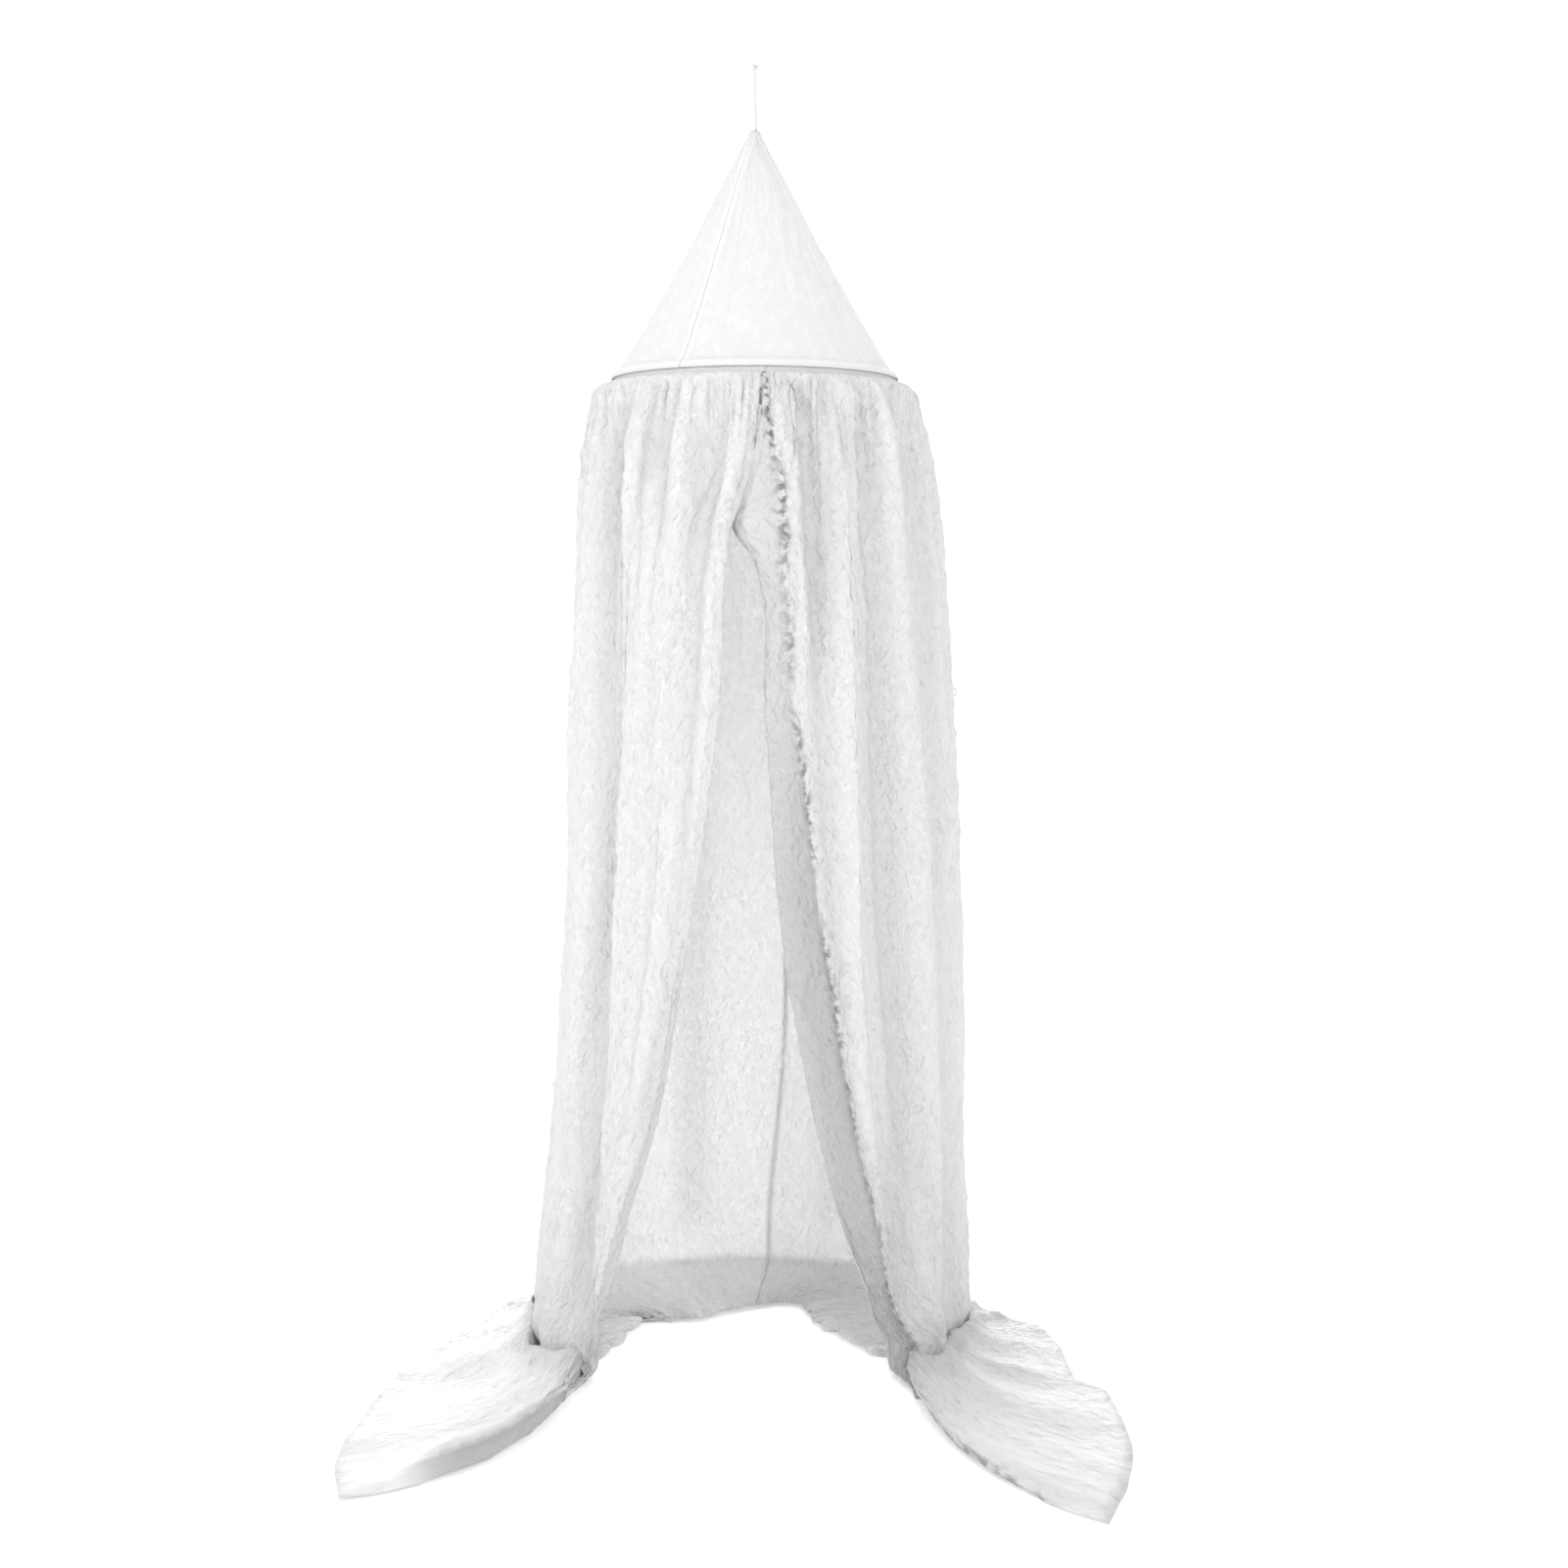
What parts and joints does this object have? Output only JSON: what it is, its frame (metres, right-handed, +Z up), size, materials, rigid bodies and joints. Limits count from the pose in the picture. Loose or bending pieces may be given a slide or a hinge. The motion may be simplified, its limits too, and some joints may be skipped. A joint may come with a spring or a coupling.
{
  "type": "hanging bed canopy on a hoop",
  "caption": "Cone of cloth on a hoop, hung by a cord, with a gathered floor-length curtain open at the front and trains on the floor.",
  "frame": {"origin": "the hanging point, at the top of the cord's knot", "axes": "+Z up along the cord, -Y out of the opening at the front, +X to the right of the picture"},
  "size_m": [1.0643, 1.055, 1.9378],
  "materials": {
    "cotton_cord": "twisted cotton",
    "cone_cloth": "matt crinkled cotton gauze",
    "band_cloth": "matt plain cotton",
    "curtain_cloth": "matt crinkled cotton gauze",
    "hoop": "smooth"
  },
  "bodies": {
    "root": {"hanging_cord": "cotton_cord", "cord_knot": "cotton_cord", "cone_gore_1": "cone_cloth", "cone_gore_2": "cone_cloth", "cone_gore_3": "cone_cloth", "cone_gore_4": "cone_cloth", "hoop": "hoop", "heading_band": "band_cloth", "curtain_left": "curtain_cloth", "curtain_right": "curtain_cloth", "side_loop": "cotton_cord"}
  },
  "joints": []
}
